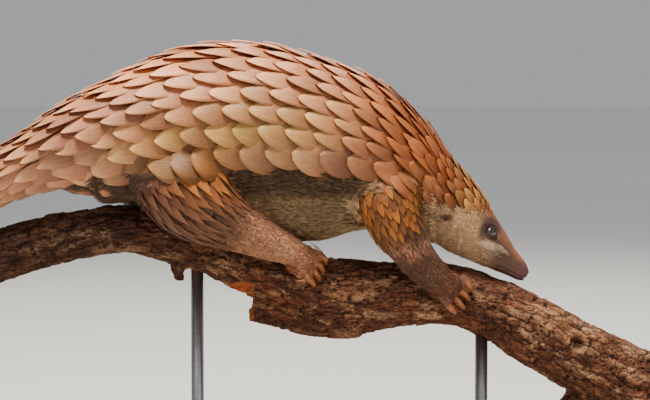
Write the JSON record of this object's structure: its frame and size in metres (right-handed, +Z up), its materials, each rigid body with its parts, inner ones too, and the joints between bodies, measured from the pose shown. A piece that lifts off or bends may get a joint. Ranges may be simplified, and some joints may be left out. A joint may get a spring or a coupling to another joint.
{
  "type": "tree pangolin model on a branch",
  "caption": "Life-size tree pangolin with overlapping scales, walking down a cut branch that a plain stand holds up on rods.",
  "frame": {"origin": "centre of the stand base's underside", "axes": "+X ahead, the way the head points; +Z up; the animal's right side faces -Y"},
  "size_m": [0.7073, 0.19, 0.3587],
  "materials": {
    "scales": "satin horn, pinkish tan with paler tips",
    "skin": "bare, finely wrinkled",
    "fur": "short, rough hair",
    "claw": "polished horn",
    "eye": "wet, dark",
    "bark": "cracked reddish bark",
    "stand_base": "oiled dark wood",
    "stand_rod": "brushed"
  },
  "bodies": {
    "root": {"head": "scales", "eye_right": "eye", "eye_left": "eye", "ear_right": "skin", "ear_left": "skin", "neck": "scales", "torso": "scales", "tail_root": "scales", "tail_middle": "scales", "tail_end": "scales", "tail_tip": "scales", "foreleg_right": "fur", "foreleg_left": "fur", "hindleg_right": "fur", "hindleg_left": "fur", "claw_foreleg_right_1": "claw", "claw_foreleg_right_2": "claw", "claw_foreleg_right_3": "claw", "claw_foreleg_right_4": "claw", "claw_foreleg_left_1": "claw", "claw_foreleg_left_2": "claw", "claw_foreleg_left_3": "claw", "claw_foreleg_left_4": "claw", "claw_hindleg_right_1": "claw", "claw_hindleg_right_2": "claw", "claw_hindleg_right_3": "claw", "claw_hindleg_right_4": "claw", "claw_hindleg_left_1": "claw", "claw_hindleg_left_2": "claw", "claw_hindleg_left_3": "claw", "claw_hindleg_left_4": "claw", "branch": "bark", "stand_base": "stand_base", "stand_rod_1": "stand_rod", "stand_rod_2": "stand_rod"}
  },
  "joints": []
}
